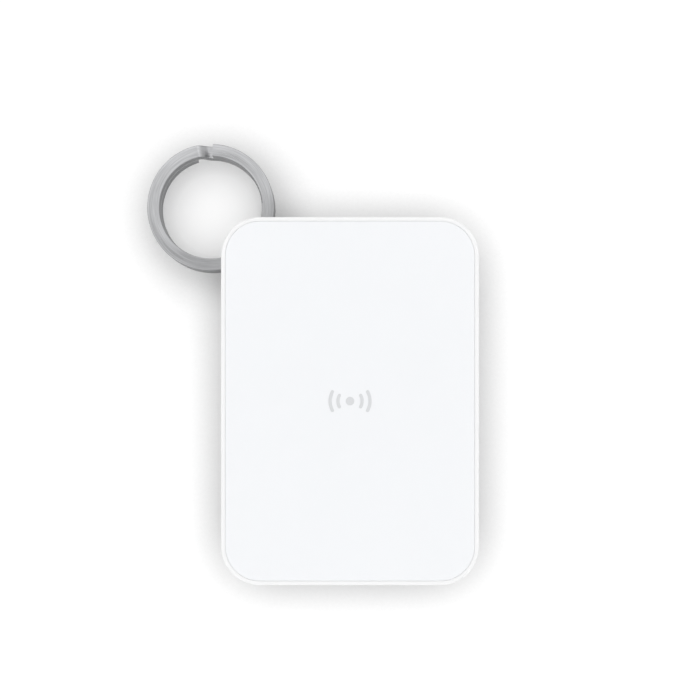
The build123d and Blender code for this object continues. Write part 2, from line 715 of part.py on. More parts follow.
with BuildPart() as switch_dome:
    with BuildSketch(Plane.XZ):
        with BuildLine():
            inside = RadiusArc((0, SWITCH_FLOOR + DOME_RISE), (DOME_R, SWITCH_FLOOR), DOME_CURVE_R)
            rim = Line(inside @ 1, inside @ 1 + (0, DOME_T))
            outside = RadiusArc((0, PLUNGER_LOW), rim @ 1, DOME_CURVE_R)
            Line(outside @ 0, inside @ 0)
        make_face()
    revolve(axis=Axis.Z)

with BuildPart() as switch_plunger:
    with BuildSketch(Plane.XY.offset(PLUNGER_LOW)):
        Circle(PLUNGER_FLANGE_R)
    extrude(amount=PLUNGER_FLANGE_T)
    with BuildSketch(Plane.XY.offset(PLUNGER_LOW)):
        Circle(PLUNGER_R)
    extrude(amount=PLUNGER_HIGH - PLUNGER_LOW)


# ---- Sounder ---------------------------------------------------------------------------------------
with BuildPart() as acoustic_mesh:
    with BuildSketch(Plane.XY.offset(FLOOR)):
        with Locations(SOUNDER_AT):
            Circle(MESH_R)
    extrude(amount=MESH_T)

with BuildPart() as buzzer_foam:
    with BuildSketch(Plane.XY.offset(SOUNDER_RIB_TOP)):
        with Locations(SOUNDER_AT):
            Circle(SOUNDER_RIB_R)
            Circle(SOUNDER_RIB_INNER_R, mode=Mode.SUBTRACT)
    extrude(amount=FOAM_T)

with BuildPart() as buzzer_plate:
    with BuildSketch(Plane.XY.offset(FOAM_TOP)):
        with Locations(SOUNDER_AT):
            Circle(SOUNDER_R)
    extrude(amount=SOUNDER_T)

with BuildPart() as buzzer_element:
    with BuildSketch(Plane.XY.offset(FOAM_TOP + SOUNDER_T)):
        with Locations(SOUNDER_AT):
            Circle(CERAMIC_R)
    extrude(amount=SOUNDER_T)


def sounder_spring(angle, foot_radius, foot_z):
    """Leaf spring from the board's underside down to the sounder, on a plane at that angle."""
    top = BOARD_LOW - SPRING_T / 2
    foot = foot_z + SPRING_T / 2
    line = [
        (foot_radius - 3.6, top),
        (foot_radius - 2.2, top),
        (foot_radius - 0.5, foot),
        (foot_radius + 0.4, foot),
    ]
    return strip(line, upright_plane(*SOUNDER_AT, angle), SPRING_T, SPRING_W)


buzzer_springs = Compound(
    [
        sounder_spring(200, 1.6, FOAM_TOP + 2 * SOUNDER_T),
        sounder_spring(20, 6.2, FOAM_TOP + SOUNDER_T),
    ]
)


# ---- Hand-over ---------------------------------------------------------------------------------------
pieces = {
    "back_shell": back_shell.part,
    "front_frame": front_frame.part,
    "case_seal": case_seal.part,
    "case_screws": case_screws.part,
    "front_panel": front_panel.part,
    "panel_mark": panel_mark.part,
    "panel_gasket": panel_gasket.part,
    "split_ring": split_ring.part,
    "ring_post": ring_post.part,
    "battery_cell": battery_cell.part,
    "negative_contact": negative_contact,
    "positive_contacts": positive_contacts,
    "battery_door": battery_door.part,
    "door_seal": door_seal.part,
    "circuit_board": circuit_board.part,
    "bluetooth_chip": bluetooth_chip.part,
    "crystal_main": crystal_main.part,
    "crystal_clock": crystal_clock.part,
    "inductor": inductor.part,
    "status_led": status_led.part,
    "chip_antenna": chip_antenna.part,
    "buzzer_driver": buzzer_driver.part,
    "capacitors": capacitors.part,
    "resistors": resistors.part,
    "switch_body": switch_body.part,
    "switch_dome": switch_dome.part,
    "switch_cover": switch_cover.part,
    "switch_plunger": switch_plunger.part,
    "acoustic_mesh": acoustic_mesh.part,
    "buzzer_foam": buzzer_foam.part,
    "buzzer_plate": buzzer_plate.part,
    "buzzer_element": buzzer_element.part,
    "buzzer_springs": buzzer_springs,
}

os.makedirs("parts", exist_ok=True)
for name, piece in pieces.items():
    piece.label = name
    export_step(piece, f"parts/{name}.step")
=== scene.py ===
"""Looks of the bluetooth tracker tag: materials, small printed and soldered detail, studio and camera.

Lengths that belong to the looks are in millimetres and turned into metres by MM. The object lies on its
back at Z = 0, with its front towards +Z and its key ring at the -X, +Y corner.
"""

import bmesh
import bpy
import json
import math
from mathutils import Matrix, Vector


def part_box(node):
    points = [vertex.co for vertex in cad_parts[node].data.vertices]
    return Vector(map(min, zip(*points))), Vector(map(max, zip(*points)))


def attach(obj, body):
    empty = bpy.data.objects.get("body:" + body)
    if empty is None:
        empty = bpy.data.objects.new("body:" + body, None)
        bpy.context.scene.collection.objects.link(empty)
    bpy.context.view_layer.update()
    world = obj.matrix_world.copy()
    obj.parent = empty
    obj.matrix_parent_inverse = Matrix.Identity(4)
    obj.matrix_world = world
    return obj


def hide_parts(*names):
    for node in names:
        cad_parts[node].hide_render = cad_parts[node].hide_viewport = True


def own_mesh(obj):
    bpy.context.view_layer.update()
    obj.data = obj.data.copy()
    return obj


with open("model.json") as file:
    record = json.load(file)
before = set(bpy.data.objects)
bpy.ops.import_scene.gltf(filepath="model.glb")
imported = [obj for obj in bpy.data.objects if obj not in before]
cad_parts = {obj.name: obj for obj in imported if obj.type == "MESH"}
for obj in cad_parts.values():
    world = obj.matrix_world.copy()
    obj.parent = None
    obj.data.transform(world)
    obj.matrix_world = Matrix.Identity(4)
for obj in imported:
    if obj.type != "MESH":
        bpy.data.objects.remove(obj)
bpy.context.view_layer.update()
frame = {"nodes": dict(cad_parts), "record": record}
nodes = frame["nodes"]
record = frame["record"]
MM = 0.001

ring_centre = Vector([m["pos_m"] for m in record["mounts"] if m["name"] == "key_ring"][0])
case_low, case_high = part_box("back_shell")[0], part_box("front_frame")[1]
board_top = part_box("circuit_board")[1].z / MM


# ---- Node helpers -----------------------------------------------------------------------------------
class Looks:
    """A material under construction: its nodes, its links and its main shader."""

    def __init__(self, name):
        self.material = bpy.data.materials.new(name)
        self.material.use_nodes = True
        self.tree = self.material.node_tree
        self.shader = self.tree.nodes["Principled BSDF"]
        place = self.add("ShaderNodeTexCoord").outputs["Object"]
        self.mm = self.math_vector("SCALE", place, scale=1 / MM)

    def add(self, kind, **values):
        """A node with those properties and input values."""
        node = self.tree.nodes.new(kind)
        for key, value in values.items():
            setattr(node, key, value)
        return node

    def link(self, source, target):
        self.tree.links.new(source, target)

    def feed(self, socket, value):
        """Links an output to a socket, or sets the socket to a plain value."""
        if isinstance(value, bpy.types.NodeSocket):
            self.link(value, socket)
        else:
            socket.default_value = value

    def math(self, operation, a, b=0.0):
        node = self.add("ShaderNodeMath", operation=operation)
        self.feed(node.inputs[0], a)
        self.feed(node.inputs[1], b)
        return node.outputs[0]

    def math_vector(self, operation, a, b=(0, 0, 0), scale=1.0):
        node = self.add("ShaderNodeVectorMath", operation=operation)
        self.feed(node.inputs[0], a)
        if operation == "SCALE":
            self.feed(node.inputs["Scale"], scale)
        elif operation not in ("LENGTH", "NORMALIZE"):
            self.feed(node.inputs[1], b)
        return node.outputs["Value" if operation == "LENGTH" else "Vector"]

    def separate(self, vector):
        node = self.add("ShaderNodeSeparateXYZ")
        self.feed(node.inputs[0], vector)
        return node.outputs

    def combine(self, x, y, z):
        node = self.add("ShaderNodeCombineXYZ")
        for socket, value in zip(node.inputs, (x, y, z)):
            self.feed(socket, value)
        return node.outputs[0]

    def noise(self, vector, scale, detail=3.0, roughness=0.5, w=None):
        """Noise from 0 to 1, with that many features per unit of the vector."""
        node = self.add("ShaderNodeTexNoise", noise_dimensions="3D" if w is None else "4D")
        self.feed(node.inputs["Vector"], vector)
        if w is not None:
            self.feed(node.inputs["W"], w)
        node.inputs["Scale"].default_value = scale
        node.inputs["Detail"].default_value = detail
        node.inputs["Roughness"].default_value = roughness
        return node.outputs["Fac"]

    def cells(self, vector, scale):
        """Distance to the nearest point of a random scatter."""
        node = self.add("ShaderNodeTexVoronoi")
        self.feed(node.inputs["Vector"], vector)
        node.inputs["Scale"].default_value = scale
        return node.outputs["Distance"]

    def span(self, value, low, high, out_low=0.0, out_high=1.0):
        """Maps a value from one span to another, held at its ends."""
        node = self.add("ShaderNodeMapRange", clamp=True)
        for socket, number in zip(node.inputs, (value, low, high, out_low, out_high)):
            self.feed(socket, number)
        return node.outputs[0]

    def mix(self, share, a, b):
        """Colour a at 0 to colour b at 1."""
        node = self.add("ShaderNodeMix", data_type="RGBA")
        self.feed(node.inputs["Factor"], share)
        self.feed(node.inputs["A"], a if isinstance(a, bpy.types.NodeSocket) else (*a, 1))
        self.feed(node.inputs["B"], b if isinstance(b, bpy.types.NodeSocket) else (*b, 1))
        return node.outputs["Result"]

    def bump(self, height, distance, strength=1.0):
        """Normal of a bumpy surface: height from 0 to 1 stands for that distance in metres."""
        node = self.add("ShaderNodeBump")
        self.feed(node.inputs["Height"], height)
        node.inputs["Distance"].default_value = distance
        node.inputs["Strength"].default_value = strength
        return node.outputs["Normal"]

    def set(self, **values):
        """Sets shader sockets, by their names with underscores for spaces."""
        for key, value in values.items():
            if key == "Base_Color" and not isinstance(value, bpy.types.NodeSocket):
                value = (*value, 1)
            self.feed(self.shader.inputs[key.replace("_", " ")], value)
        return self


# ---- Materials --------------------------------------------------------------------------------------
def moulded_plastic(name, colour, roughness, texture=0.4, grain=6.0, glow=0.8):
    """Injection-moulded plastic: faint cloudiness, a fine etched texture and slightly uneven gloss."""
    looks = Looks(name)
    cloud = looks.noise(looks.mm, 0.12, detail=2)
    speck = looks.noise(looks.mm, grain * 0.5, detail=3)
    tone = looks.mix(looks.span(cloud, 0.25, 0.75), [c * 0.993 for c in colour], colour)
    tone = looks.mix(looks.span(speck, 0.3, 0.7, 0, 0.3), tone, [c * 0.985 for c in colour])
    gloss = looks.noise(looks.mm, 0.35, detail=1)
    etched = looks.noise(looks.mm, grain, detail=4, roughness=0.6)
    looks.set(
        Base_Color=tone,
        Roughness=looks.span(gloss, 0.2, 0.8, roughness - 0.012, roughness + 0.012),
        Normal=looks.bump(etched, texture * 0.001 * MM, 1.0),
        IOR=1.5,
        Subsurface_Weight=glow,
        Subsurface_Radius=(1.0, 1.0, 1.0),
        Subsurface_Scale=0.12 * MM,
    )
    return looks.material


BEND_SHADE_SHARE = 0.85  # painted shade: how much darker the wire is painted where it bends between its turns and at its edges
WALL_SHADE_SHARE = 0.75  # how much darker its walls are: painted shade on the sideways faces, and a duller finish that the brush hardly reaches
MINUS_Y_SHADE_SHARE = 0.3  # painted shade: how much darker it grows from its +Y side to its -Y side


def brushed_ring(name, colour, centre):
    """Spring steel brushed round a vertical axis: streaks of three widths, with painted shade on its walls,
    its bends and its -Y side.
    """
    looks = Looks(name)
    middle = [centre[0] / MM, centre[1] / MM, 0]
    outwards = looks.math_vector("SUBTRACT", looks.mm, middle)
    outwards = looks.math_vector("MULTIPLY", outwards, (1, 1, 0))
    radius = looks.math_vector("LENGTH", outwards)
    unit = looks.math_vector("NORMALIZE", outwards)
    height = looks.separate(looks.mm)[2]
    unit_parts = looks.separate(unit)

    def lines(radial, along, seed):
        """Streaks that run round the ring, radial per mm across and along per radian."""
        around_x = looks.math("MULTIPLY", unit_parts[0], along)
        around_y = looks.math("MULTIPLY", unit_parts[1], along)
        across = looks.math("MULTIPLY", radius, radial)
        depth = looks.math("MULTIPLY_ADD", height, radial * 0.3)
        depth.node.inputs[2].default_value = seed
        return looks.noise(looks.combine(across, around_x, around_y), 1.0, 1.0, 0.5, w=depth)

    broad, fine, hair = lines(1.6, 0.8, 3.0), lines(4.5, 1.6, 11.0), lines(15.0, 4.0, 23.0)
    blotch = looks.noise(looks.mm, 0.25, detail=3)
    dark, bright = [c * 0.72 for c in colour], [min(1, c * 1.22) for c in colour]
    streak = looks.math("MULTIPLY", looks.span(broad, 0.35, 0.65), 0.3)
    for layer in (fine, hair):
        streak = looks.math("ADD", streak, looks.math("MULTIPLY", looks.span(layer, 0.38, 0.62), 0.35))
    tone = looks.mix(streak, dark, bright)
    tone = looks.mix(looks.span(blotch, 0.4, 0.7, 0, 0.1), tone, bright)
    slope = looks.separate(looks.add("ShaderNodeNewGeometry").outputs["Normal"])[2]
    level = looks.math("ABSOLUTE", slope)
    # Painted shade on the faces that tilt from level, at the bends and edges.
    bend_shade = looks.span(level, 0.8, 0.985, BEND_SHADE_SHARE, 0)
    tone = looks.mix(bend_shade, tone, [c * 0.45 for c in colour])
    # Painted shade on the walls, which face sideways, together with their duller unbrushed finish.
    side = looks.span(level, 0.05, 0.6, WALL_SHADE_SHARE, 0)
    tone = looks.mix(side, tone, [c * 0.45 for c in colour])
    # Painted shade towards the ring's -Y side, fixed to the ring.
    minus_y_shade = looks.span(unit_parts[1], -1, 0.7, MINUS_Y_SHADE_SHARE, 0)
    tone = looks.mix(minus_y_shade, tone, [c * 0.5 for c in colour])
    grooves = looks.math("ADD", looks.math("MULTIPLY", fine, 0.6), looks.math("MULTIPLY", hair, 0.4))
    tangent = looks.add("ShaderNodeVectorTransform", vector_type="VECTOR", convert_from="OBJECT")
    looks.link(unit, tangent.inputs[0])
    looks.set(
        Base_Color=tone,
        Metallic=1.0,
        Roughness=looks.span(broad, 0.3, 0.7, 0.27, 0.4),
        Anisotropic=0.6,
        Tangent=tangent.outputs[0],
        Normal=looks.bump(grooves, 0.006 * MM, 0.9),
    )
    return looks.material


def sheet_metal(name, colour, roughness=0.28, grain=5.0, along=(1, 0.08, 1)):
    """Rolled or plated sheet: streaks along the rolling direction and a few darker spots."""
    looks = Looks(name)
    stretched = looks.math_vector("MULTIPLY", looks.mm, along)
    streak = looks.noise(stretched, grain, detail=4, roughness=0.6)
    spot = looks.noise(looks.mm, 1.3, detail=3)
    tone = looks.mix(looks.span(streak, 0.3, 0.7), [c * 0.88 for c in colour], colour)
    tone = looks.mix(looks.span(spot, 0.6, 0.75, 0, 0.3), tone, [c * 0.75 for c in colour])
    looks.set(
        Base_Color=tone,
        Metallic=1.0,
        Roughness=looks.span(streak, 0.3, 0.7, roughness - 0.06, roughness + 0.08),
        Normal=looks.bump(streak, 0.003 * MM, 0.6),
    )
    return looks.material


def turned_steel(name, colour):
    """Machine-turned steel with fine rings up the shaft."""
    looks = Looks(name)
    height = looks.separate(looks.mm)[2]
    rings = looks.noise(looks.combine(0.0, 0.0, height), 14.0, detail=3)
    cloud = looks.noise(looks.mm, 2.0, detail=3)
    looks.set(
        Base_Color=looks.mix(looks.span(cloud, 0.3, 0.7), [c * 0.85 for c in colour], colour),
        Metallic=1.0,
        Roughness=looks.span(rings, 0.3, 0.7, 0.22, 0.36),
        Normal=looks.bump(rings, 0.004 * MM, 0.7),
    )
    return looks.material


def soft_rubber(name, colour, cells=0.0):
    """Silicone rubber, or foam when cells is the number of pores per millimetre."""
    looks = Looks(name)
    cloud = looks.noise(looks.mm, 1.5, detail=4)
    tone = looks.mix(looks.span(cloud, 0.3, 0.7), [c * 0.88 for c in colour], colour)
    skin = looks.noise(looks.mm, 9.0, detail=3)
    if cells:
        pores = looks.span(looks.cells(looks.mm, cells), 0.1, 0.45)
        # The pores are painted darker: painted shade in their hollows.
        tone = looks.mix(pores, [c * 0.72 for c in colour], tone)
        skin = looks.math("ADD", looks.math("MULTIPLY", pores, 0.8), looks.math("MULTIPLY", skin, 0.2))
    looks.set(
        Base_Color=tone,
        Roughness=looks.span(cloud, 0.3, 0.7, 0.55, 0.75),
        Normal=looks.bump(skin, (0.03 if cells else 0.006) * MM, 0.7),
        IOR=1.42,
    )
    return looks.material


def printed_ink(name, colour):
    """Pad-printed ink: a fine screen of slightly lighter dots in a satin film."""
    looks = Looks(name)
    dots = looks.cells(looks.mm, 11.0)
    cloud = looks.noise(looks.mm, 0.8, detail=3)
    tone = looks.mix(looks.span(dots, 0.2, 0.6), colour, [min(1, c * 1.04) for c in colour])
    tone = looks.mix(looks.span(cloud, 0.4, 0.7, 0, 0.3), tone, [c * 0.96 for c in colour])
    looks.set(
        Base_Color=tone,
        Roughness=looks.span(cloud, 0.3, 0.7, 0.38, 0.5),
        Normal=looks.bump(dots, 0.002 * MM, 0.6),
        IOR=1.48,
    )
    return looks.material


def ceramic(name, colour, roughness=0.45):
    """Fired ceramic: fine grain with sparse darker specks."""
    looks = Looks(name)
    grain = looks.noise(looks.mm, 8.0, detail=4)
    specks = looks.cells(looks.mm, 3.0)
    tone = looks.mix(looks.span(grain, 0.3, 0.7), [c * 0.9 for c in colour], colour)
    tone = looks.mix(looks.span(specks, 0.0, 0.12, 0.5, 0), tone, [c * 0.6 for c in colour])
    looks.set(
        Base_Color=tone,
        Roughness=looks.span(grain, 0.3, 0.7, roughness - 0.08, roughness + 0.08),
        Normal=looks.bump(grain, 0.006 * MM, 0.6),
    )
    return looks.material


def solder_mask(name, colour):
    """Circuit board: green mask over a faint glass weave, with a tan bare edge of laminate."""
    looks = Looks(name)
    parts = looks.separate(looks.mm)
    weave_x = looks.math("SINE", looks.math("MULTIPLY", parts[0], 2 * math.pi / 0.45))
    weave_y = looks.math("SINE", looks.math("MULTIPLY", parts[1], 2 * math.pi / 0.5))
    weave = looks.math("MULTIPLY", weave_x, weave_y)
    cloud = looks.noise(looks.mm, 0.5, detail=3)
    mask = looks.mix(looks.span(cloud, 0.3, 0.7), [c * 0.8 for c in colour], colour)
    mask = looks.mix(looks.span(weave, -1, 1, 0, 0.2), mask, [min(1, c * 1.5) for c in colour])
    slope = looks.separate(looks.add("ShaderNodeNewGeometry").outputs["Normal"])[2]
    edge = looks.math("LESS_THAN", looks.math("ABSOLUTE", slope), 0.5)
    grain = looks.noise(looks.mm, 7.0, detail=3)
    laminate = looks.mix(looks.span(grain, 0.3, 0.7), (0.42, 0.36, 0.2), (0.56, 0.5, 0.32))
    looks.set(
        Base_Color=looks.mix(edge, mask, laminate),
        Roughness=looks.span(grain, 0.3, 0.7, 0.28, 0.4),
        Normal=looks.bump(weave, 0.004 * MM, 0.5),
    )
    return looks.material


def woven_mesh(name, colour):
    """Acoustic mesh: a plain weave of fine threads."""
    looks = Looks(name)
    parts = looks.separate(looks.mm)
    warp = looks.math("ABSOLUTE", looks.math("SINE", looks.math("MULTIPLY", parts[0], 22.0)))
    weft = looks.math("ABSOLUTE", looks.math("SINE", looks.math("MULTIPLY", parts[1], 22.0)))
    threads = looks.math("MAXIMUM", warp, weft)
    fuzz = looks.noise(looks.mm, 12.0, detail=3)
    # The threads are painted lighter and the gaps between them darker: painted highlight on the crowns and
    # painted shade between.
    light = [min(1, c * 3.0 + 0.05) for c in colour]
    looks.set(
        Base_Color=looks.mix(looks.span(threads, 0.6, 1.0), [c * 0.4 for c in colour], light),
        Roughness=looks.span(fuzz, 0.3, 0.7, 0.6, 0.85),
        Normal=looks.bump(threads, 0.03 * MM, 0.8),
        Sheen_Weight=0.3,
    )
    return looks.material


def dress(material, *names):
    """Gives CAD nodes a material."""
    for name in names:
        mesh = nodes[name].data
        mesh.materials.clear()
        mesh.materials.append(material)


def dress_all():
    """Every CAD node's material."""
    dress(moulded_plastic("shell_plastic", (0.82, 0.822, 0.826), 0.34), "back_shell", "front_frame")
    dress(moulded_plastic("panel_plastic", (0.815, 0.825, 0.84), 0.3, texture=0.2), "front_panel")
    dress(moulded_plastic("door_plastic", (0.78, 0.785, 0.79), 0.5, texture=4.0), "battery_door")
    dress(printed_ink("mark_ink", (0.6, 0.608, 0.622)), "panel_mark")
    dress(brushed_ring("ring_steel", (0.53, 0.534, 0.545), ring_centre), "split_ring")
    dress(turned_steel("post_steel", (0.6, 0.6, 0.61)), "ring_post")
    dress(turned_steel("screw_steel", (0.5, 0.5, 0.52)), "case_screws")
    dress(soft_rubber("seal_rubber", (0.035, 0.035, 0.038)), "case_seal", "door_seal")
    dress(soft_rubber("gasket_foam", (0.7, 0.7, 0.71), cells=6.0), "panel_gasket", "buzzer_foam")
    dress(sheet_metal("cell_can", (0.7, 0.7, 0.7), 0.2), "battery_cell")
    contacts = ("negative_contact", "positive_contacts", "buzzer_springs")
    dress(sheet_metal("contact_spring", (0.83, 0.68, 0.38), 0.25), *contacts)
    dress(solder_mask("board_mask", (0.012, 0.1, 0.045)), "circuit_board")
    dress(moulded_plastic("chip_epoxy", (0.03, 0.03, 0.032), 0.5, 5.0, glow=0), "bluetooth_chip", "inductor")
    dress(sheet_metal("can_metal", (0.7, 0.69, 0.66), 0.3), "crystal_main", "crystal_clock")
    dress(ceramic("antenna_ceramic", (0.78, 0.77, 0.73)), "chip_antenna", "buzzer_element")
    dress(ceramic("capacitor_ceramic", (0.5, 0.36, 0.22)), "capacitors")
    dress(ceramic("resistor_ceramic", (0.05, 0.05, 0.055)), "resistors")
    dress(moulded_plastic("driver_epoxy", (0.03, 0.03, 0.032), 0.5, 5.0, glow=0), "buzzer_driver")
    dress(moulded_plastic("led_lens", (0.85, 0.84, 0.72), 0.25, glow=0.5), "status_led")
    dress(moulded_plastic("switch_nylon", (0.035, 0.035, 0.038), 0.45, 5.0, glow=0), "switch_body")
    dress(sheet_metal("switch_sheet", (0.66, 0.66, 0.67)), "switch_cover", "switch_dome")
    dress(moulded_plastic("plunger_nylon", (0.8, 0.8, 0.79), 0.4, 2.0), "switch_plunger")
    dress(woven_mesh("mesh_cloth", (0.02, 0.02, 0.022)), "acoustic_mesh")
    dress(sheet_metal("sounder_brass", (0.8, 0.58, 0.26), 0.3), "buzzer_plate")


# ---- Mesh helpers, in millimetres -------------------------------------------------------------------
def finish_piece(name, mesh_maker, material, body, smooth=True):
    """Makes an object from a bmesh in millimetres and lets it ride on a CAD body."""
    mesh_maker.transform(Matrix.Scale(MM, 4))
    bmesh.ops.recalc_face_normals(mesh_maker, faces=mesh_maker.faces)
    mesh = bpy.data.meshes.new(name)
    mesh_maker.to_mesh(mesh)
    mesh_maker.free()
    mesh.materials.append(material)
    piece = bpy.data.objects.new(name, mesh)
    bpy.context.scene.collection.objects.link(piece)
    if smooth:
        mesh.polygons.foreach_set("use_smooth", [True] * len(mesh.polygons))
        mesh.set_sharp_from_angle(angle=math.radians(35))
    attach(piece, body)
    return piece


def sweep_section(maker, path, section):
    """Closed tube: section points are (outwards, height), and path holds (point, outward direction)."""
    rows = []
    for point, outward in path:
        rows.append([maker.verts.new((*(point + outward * out), height)) for out, height in section])
    count = len(section)
    for row, after in zip(rows, rows[1:] + rows[:1]):
        for i in range(count):
            j = (i + 1) % count
            maker.faces.new((row[i], after[i], after[j], row[j]))


def circle_path(centre, radius, steps):
    """Points and outward directions round a circle."""
    turns = [2 * math.pi * i / steps for i in range(steps)]
    directions = [Vector((math.cos(turn), math.sin(turn))) for turn in turns]
    return [(Vector(centre) + radius * way, way) for way in directions]


def rounded_path(half_x, half_y, radius, steps):
    """Points and outward directions round a rounded rectangle about the origin, each corner in steps."""
    path = []
    for corner, (side_x, side_y) in enumerate(((1, 1), (-1, 1), (-1, -1), (1, -1))):
        middle = Vector((side_x * (half_x - radius), side_y * (half_y - radius)))
        for i in range(steps + 1):
            turn = math.pi / 2 * (corner + i / steps)
            way = Vector((math.cos(turn), math.sin(turn)))
            path.append((middle + radius * way, way))
    return path


def barrel_section(width, low, high, pull, steps=6):
    """Section of a squeezed foam strip: flat above and below, with sides that bulge between."""
    side = []
    for i in range(steps + 1):
        share = i / steps
        side.append((width / 2 - pull * (2 * share - 1) ** 2, low + (high - low) * share))
    return side + [(-out, height) for out, height in reversed(side)]


def block(maker, low, high, bevel=0.0):
    """Adds a box between two corners, with its edges broken by a small bevel."""
    size, middle = Vector(high) - Vector(low), (Vector(high) + Vector(low)) / 2
    made = bmesh.ops.create_cube(maker, size=1.0)
    for vertex in made["verts"]:
        vertex.co = middle + Vector([vertex.co[i] * size[i] for i in range(3)])
    if bevel:
        edges = list({edge for vertex in made["verts"] for edge in vertex.link_edges})
        bmesh.ops.bevel(maker, geom=edges, offset=bevel, segments=2, affect="EDGES", profile=0.5)


def islands(node):
    """Lowest and highest corner, in millimetres, of each separate solid in a CAD node."""
    maker = bmesh.new()
    maker.from_mesh(nodes[node].data)
    bmesh.ops.remove_doubles(maker, verts=maker.verts, dist=MM / 1000)
    left, found = set(maker.verts), []
    while left:
        reached = {left.pop()}
        group = set(reached)
        while reached:
            near = {edge.other_vert(vertex) for vertex in reached for edge in vertex.link_edges}
            reached = near - group
            group |= reached
        left -= group
        found.append([
            Vector([pick(vertex.co[i] for vertex in group) / MM for i in range(3)]) for pick in (min, max)
        ])
    maker.free()
    return sorted(found, key=lambda corners: tuple(corners[0]))


# ---- New pieces -------------------------------------------------------------------------------------
GASKET_WIDTH = 1.0
GASKET_CORNER_R = 4.5
GASKET_PULL = 0.09  # how far the strip's sides draw in above and below the middle
SOUNDER_FOAM_WIDTH = 0.8
SOUNDER_FOAM_PULL = 0.06


def build_gasket():
    """Foam strip under the panel's rim, which the panel squeezes when it is pressed."""
    low, high = [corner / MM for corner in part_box("panel_gasket")]
    half = GASKET_WIDTH / 2
    path = rounded_path(high.x - half, high.y - half, GASKET_CORNER_R - half, 14)
    maker = bmesh.new()
    sweep_section(maker, path, barrel_section(GASKET_WIDTH, low.z, high.z, GASKET_PULL))
    material = nodes["panel_gasket"].data.materials[0]
    gasket = finish_piece("panel_gasket_foam", maker, material, "case")
    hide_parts("panel_gasket")
    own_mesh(gasket)


def build_sounder_foam():
    """Foam ring between the sounder's plate and the rib of the back shell."""
    low, high = [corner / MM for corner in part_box("buzzer_foam")]
    centre, radius = ((low + high) / 2).xy, (high.x - low.x) / 2
    path = circle_path(centre, radius - SOUNDER_FOAM_WIDTH / 2, 96)
    section = barrel_section(SOUNDER_FOAM_WIDTH, low.z, high.z, SOUNDER_FOAM_PULL, steps=4)
    maker = bmesh.new()
    sweep_section(maker, path, section)
    material = nodes["buzzer_foam"].data.materials[0]
    foam = finish_piece("sounder_foam_ring", maker, material, "case")
    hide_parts("buzzer_foam")


DOME_THICK = 0.07
DIMPLE_DEPTH = 0.03
DIMPLE_REACH = 0.25  # share of the dome's radius


def build_dome():
    """Snap dome of the switch: a thin sprung cap on a flat rim, dimpled in the middle."""
    low, high = [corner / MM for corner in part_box("switch_dome")]
    radius, thick, steps = high.x, DOME_THICK, 12
    rise = high.z - low.z - thick
    maker = bmesh.new()

    def height(share):
        dimple = DIMPLE_DEPTH * max(0.0, 1 - share / DIMPLE_REACH) ** 2
        return low.z + rise * (0.5 + 0.5 * math.cos(math.pi * share)) - dimple

    shares = [i / steps for i in range(steps + 1)]
    outer = [(radius * share, height(share) + thick) for share in shares if share]
    inner = [(radius * share, height(share)) for share in reversed(shares) if share]
    path = circle_path((0, 0), 0, 48)
    sweep_section(maker, path, outer + inner)
    # The sweep leaves a hole in the middle, which a wall closes: two fans take its place.
    bmesh.ops.remove_doubles(maker, verts=maker.verts, dist=1e-5)
    wall = [
        face for face in maker.faces
        if all(vertex.co.xy.length < radius / steps + 1e-4 for vertex in face.verts)
    ]
    bmesh.ops.delete(maker, geom=wall, context="FACES")
    for level in (height(0), height(0) + thick):
        rim = [
            edge for edge in maker.edges
            if edge.is_boundary and abs(edge.verts[0].co.z - level) < thick / 2
        ]
        bmesh.ops.contextual_create(maker, geom=rim)
    material = nodes["switch_dome"].data.materials[0]
    dome = finish_piece("switch_snap_dome", maker, material, "case")
    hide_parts("switch_dome")
    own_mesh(dome)


CAP_SHARE = 0.24  # share of a chip component's length that each tinned end wraps
CAP_PROUD = 0.02
CAP_BEVEL = 0.03
FILLET_REACH = 0.22
FILLET_TOE = 0.01  # height of the solder at the fillet's far end


def build_terminals(name, node, material):
    """Tinned ends that wrap each component of a CAD node, with a sloped fillet of solder at each end."""
    maker = bmesh.new()
    proud = Vector((CAP_PROUD, CAP_PROUD, CAP_PROUD))
    for low, high in islands(node):
        axis = 0 if high.x - low.x > high.y - low.y else 1
        across, size = 1 - axis, high - low
        for side in (-1, 1):
            cap_low, cap_high = low - proud, high + proud
            cap_low.z = low.z
            if side < 0:
                cap_high[axis] = low[axis] + size[axis] * CAP_SHARE
            else:
                cap_low[axis] = high[axis] - size[axis] * CAP_SHARE
            block(maker, cap_low, cap_high, bevel=CAP_BEVEL)
            face = (low if side < 0 else high)[axis] + side * CAP_PROUD
            # The fillet curves down from half the end's height to the pad.
            steps, rows = 5, []
            for i in range(steps + 1):
                share = i / steps
                point = [0, 0, low.z + FILLET_TOE + 0.5 * size.z * (1 - share) ** 2]
                point[axis] = face + side * FILLET_REACH * share
                ends = []
                for edge in (cap_low[across] + CAP_BEVEL, cap_high[across] - CAP_BEVEL):
                    point[across] = edge
                    ends.append([maker.verts.new(point), maker.verts.new((*point[:2], low.z))])
                rows.append(ends)
            for (a, b), (c, d) in zip(rows, rows[1:]):
                maker.faces.new((a[0], b[0], d[0], c[0]))
                maker.faces.new((a[1], c[1], d[1], b[1]))
                maker.faces.new((a[0], c[0], c[1], a[1]))
                maker.faces.new((b[0], b[1], d[1], d[0]))
            for a, b in (rows[0], rows[-1]):
                maker.faces.new((a[0], a[1], b[1], b[0]))
    finish_piece(name, maker, material, "case")


PAD_PITCH = 0.5
PAD_COUNT = 8  # on each side of the radio chip
PAD_REACH = 0.3
PAD_HALF = 0.13
PAD_THICK = 0.06


